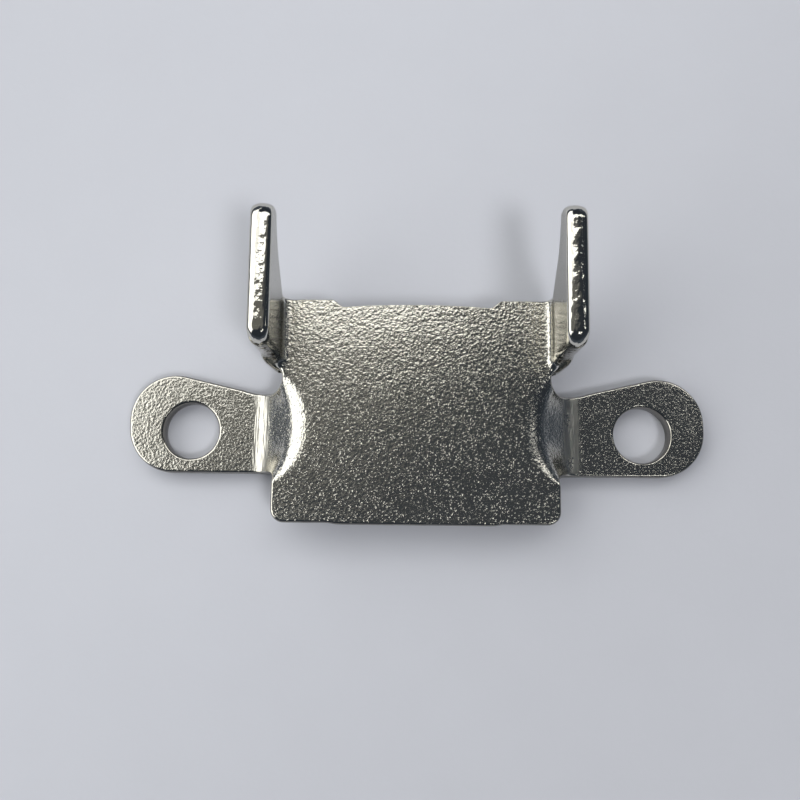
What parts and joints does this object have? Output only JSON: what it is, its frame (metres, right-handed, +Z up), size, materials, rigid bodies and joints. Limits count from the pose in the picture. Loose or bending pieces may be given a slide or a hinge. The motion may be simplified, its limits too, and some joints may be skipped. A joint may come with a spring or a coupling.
{
  "type": "horned bracket",
  "caption": "One-piece pressed bracket: raised plate between two joggled screw lugs, with upright horns folded up at its rear side edges and reaching out behind it.",
  "frame": {"origin": "on the mounting surface, under the middle of the bounding box", "axes": "+X along the two screw lugs, +Y from the plate towards the horn tips, +Z up from the mounting surface"},
  "size_m": [0.0572, 0.029, 0.0135],
  "materials": {
    "nickel_plate": "bright nickel over pressed steel, pebbled flats and polished edges"
  },
  "bodies": {
    "root": {"horned_bracket": "nickel_plate"}
  },
  "joints": []
}
